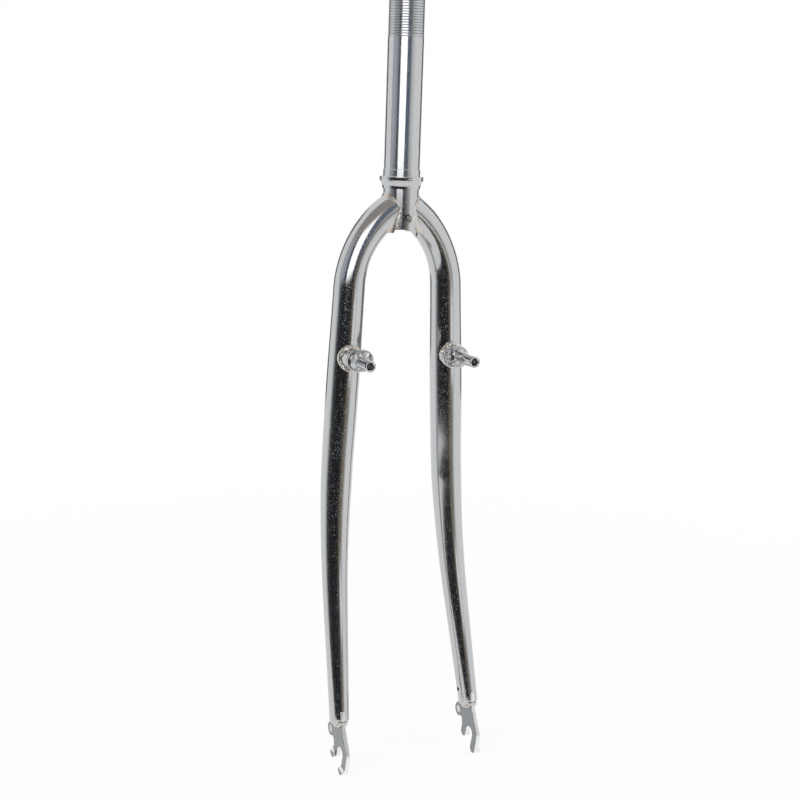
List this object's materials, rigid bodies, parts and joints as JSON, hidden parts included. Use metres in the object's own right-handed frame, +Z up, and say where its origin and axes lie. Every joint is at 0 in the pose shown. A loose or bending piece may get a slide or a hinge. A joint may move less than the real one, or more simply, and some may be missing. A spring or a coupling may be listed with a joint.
{
  "type": "rigid bicycle fork",
  "caption": "Rigid steel bicycle fork with a threaded steerer, splayed and raked tapered blades, cantilever brake bosses and slotted dropouts.",
  "frame": {"origin": "on the steerer's axis, at the shoulder under the crown race seat", "axes": "+Z up along the steerer, +X forward where the blades rake, +Y to the rider's left"},
  "size_m": [0.0696, 0.1174, 0.5682],
  "materials": {
    "chrome": "bright chrome plate with fine speckle",
    "dropout_steel": "satin plated stamping with bright edges",
    "weld": "rough plated weld, cream and brown tint"
  },
  "bodies": {
    "root": {"steerer_tube": "chrome", "crown_race_ring": "chrome", "left_blade": "chrome", "right_blade": "chrome", "left_dropout": "dropout_steel", "right_dropout": "dropout_steel", "left_boss_base": "chrome", "right_boss_base": "chrome", "left_spring_plate": "chrome", "right_spring_plate": "chrome", "left_pivot_stud": "chrome", "right_pivot_stud": "chrome", "left_crown_weld": "weld", "right_crown_weld": "weld", "left_boss_weld": "weld", "right_boss_weld": "weld", "left_dropout_weld": "weld", "right_dropout_weld": "weld"}
  },
  "joints": []
}
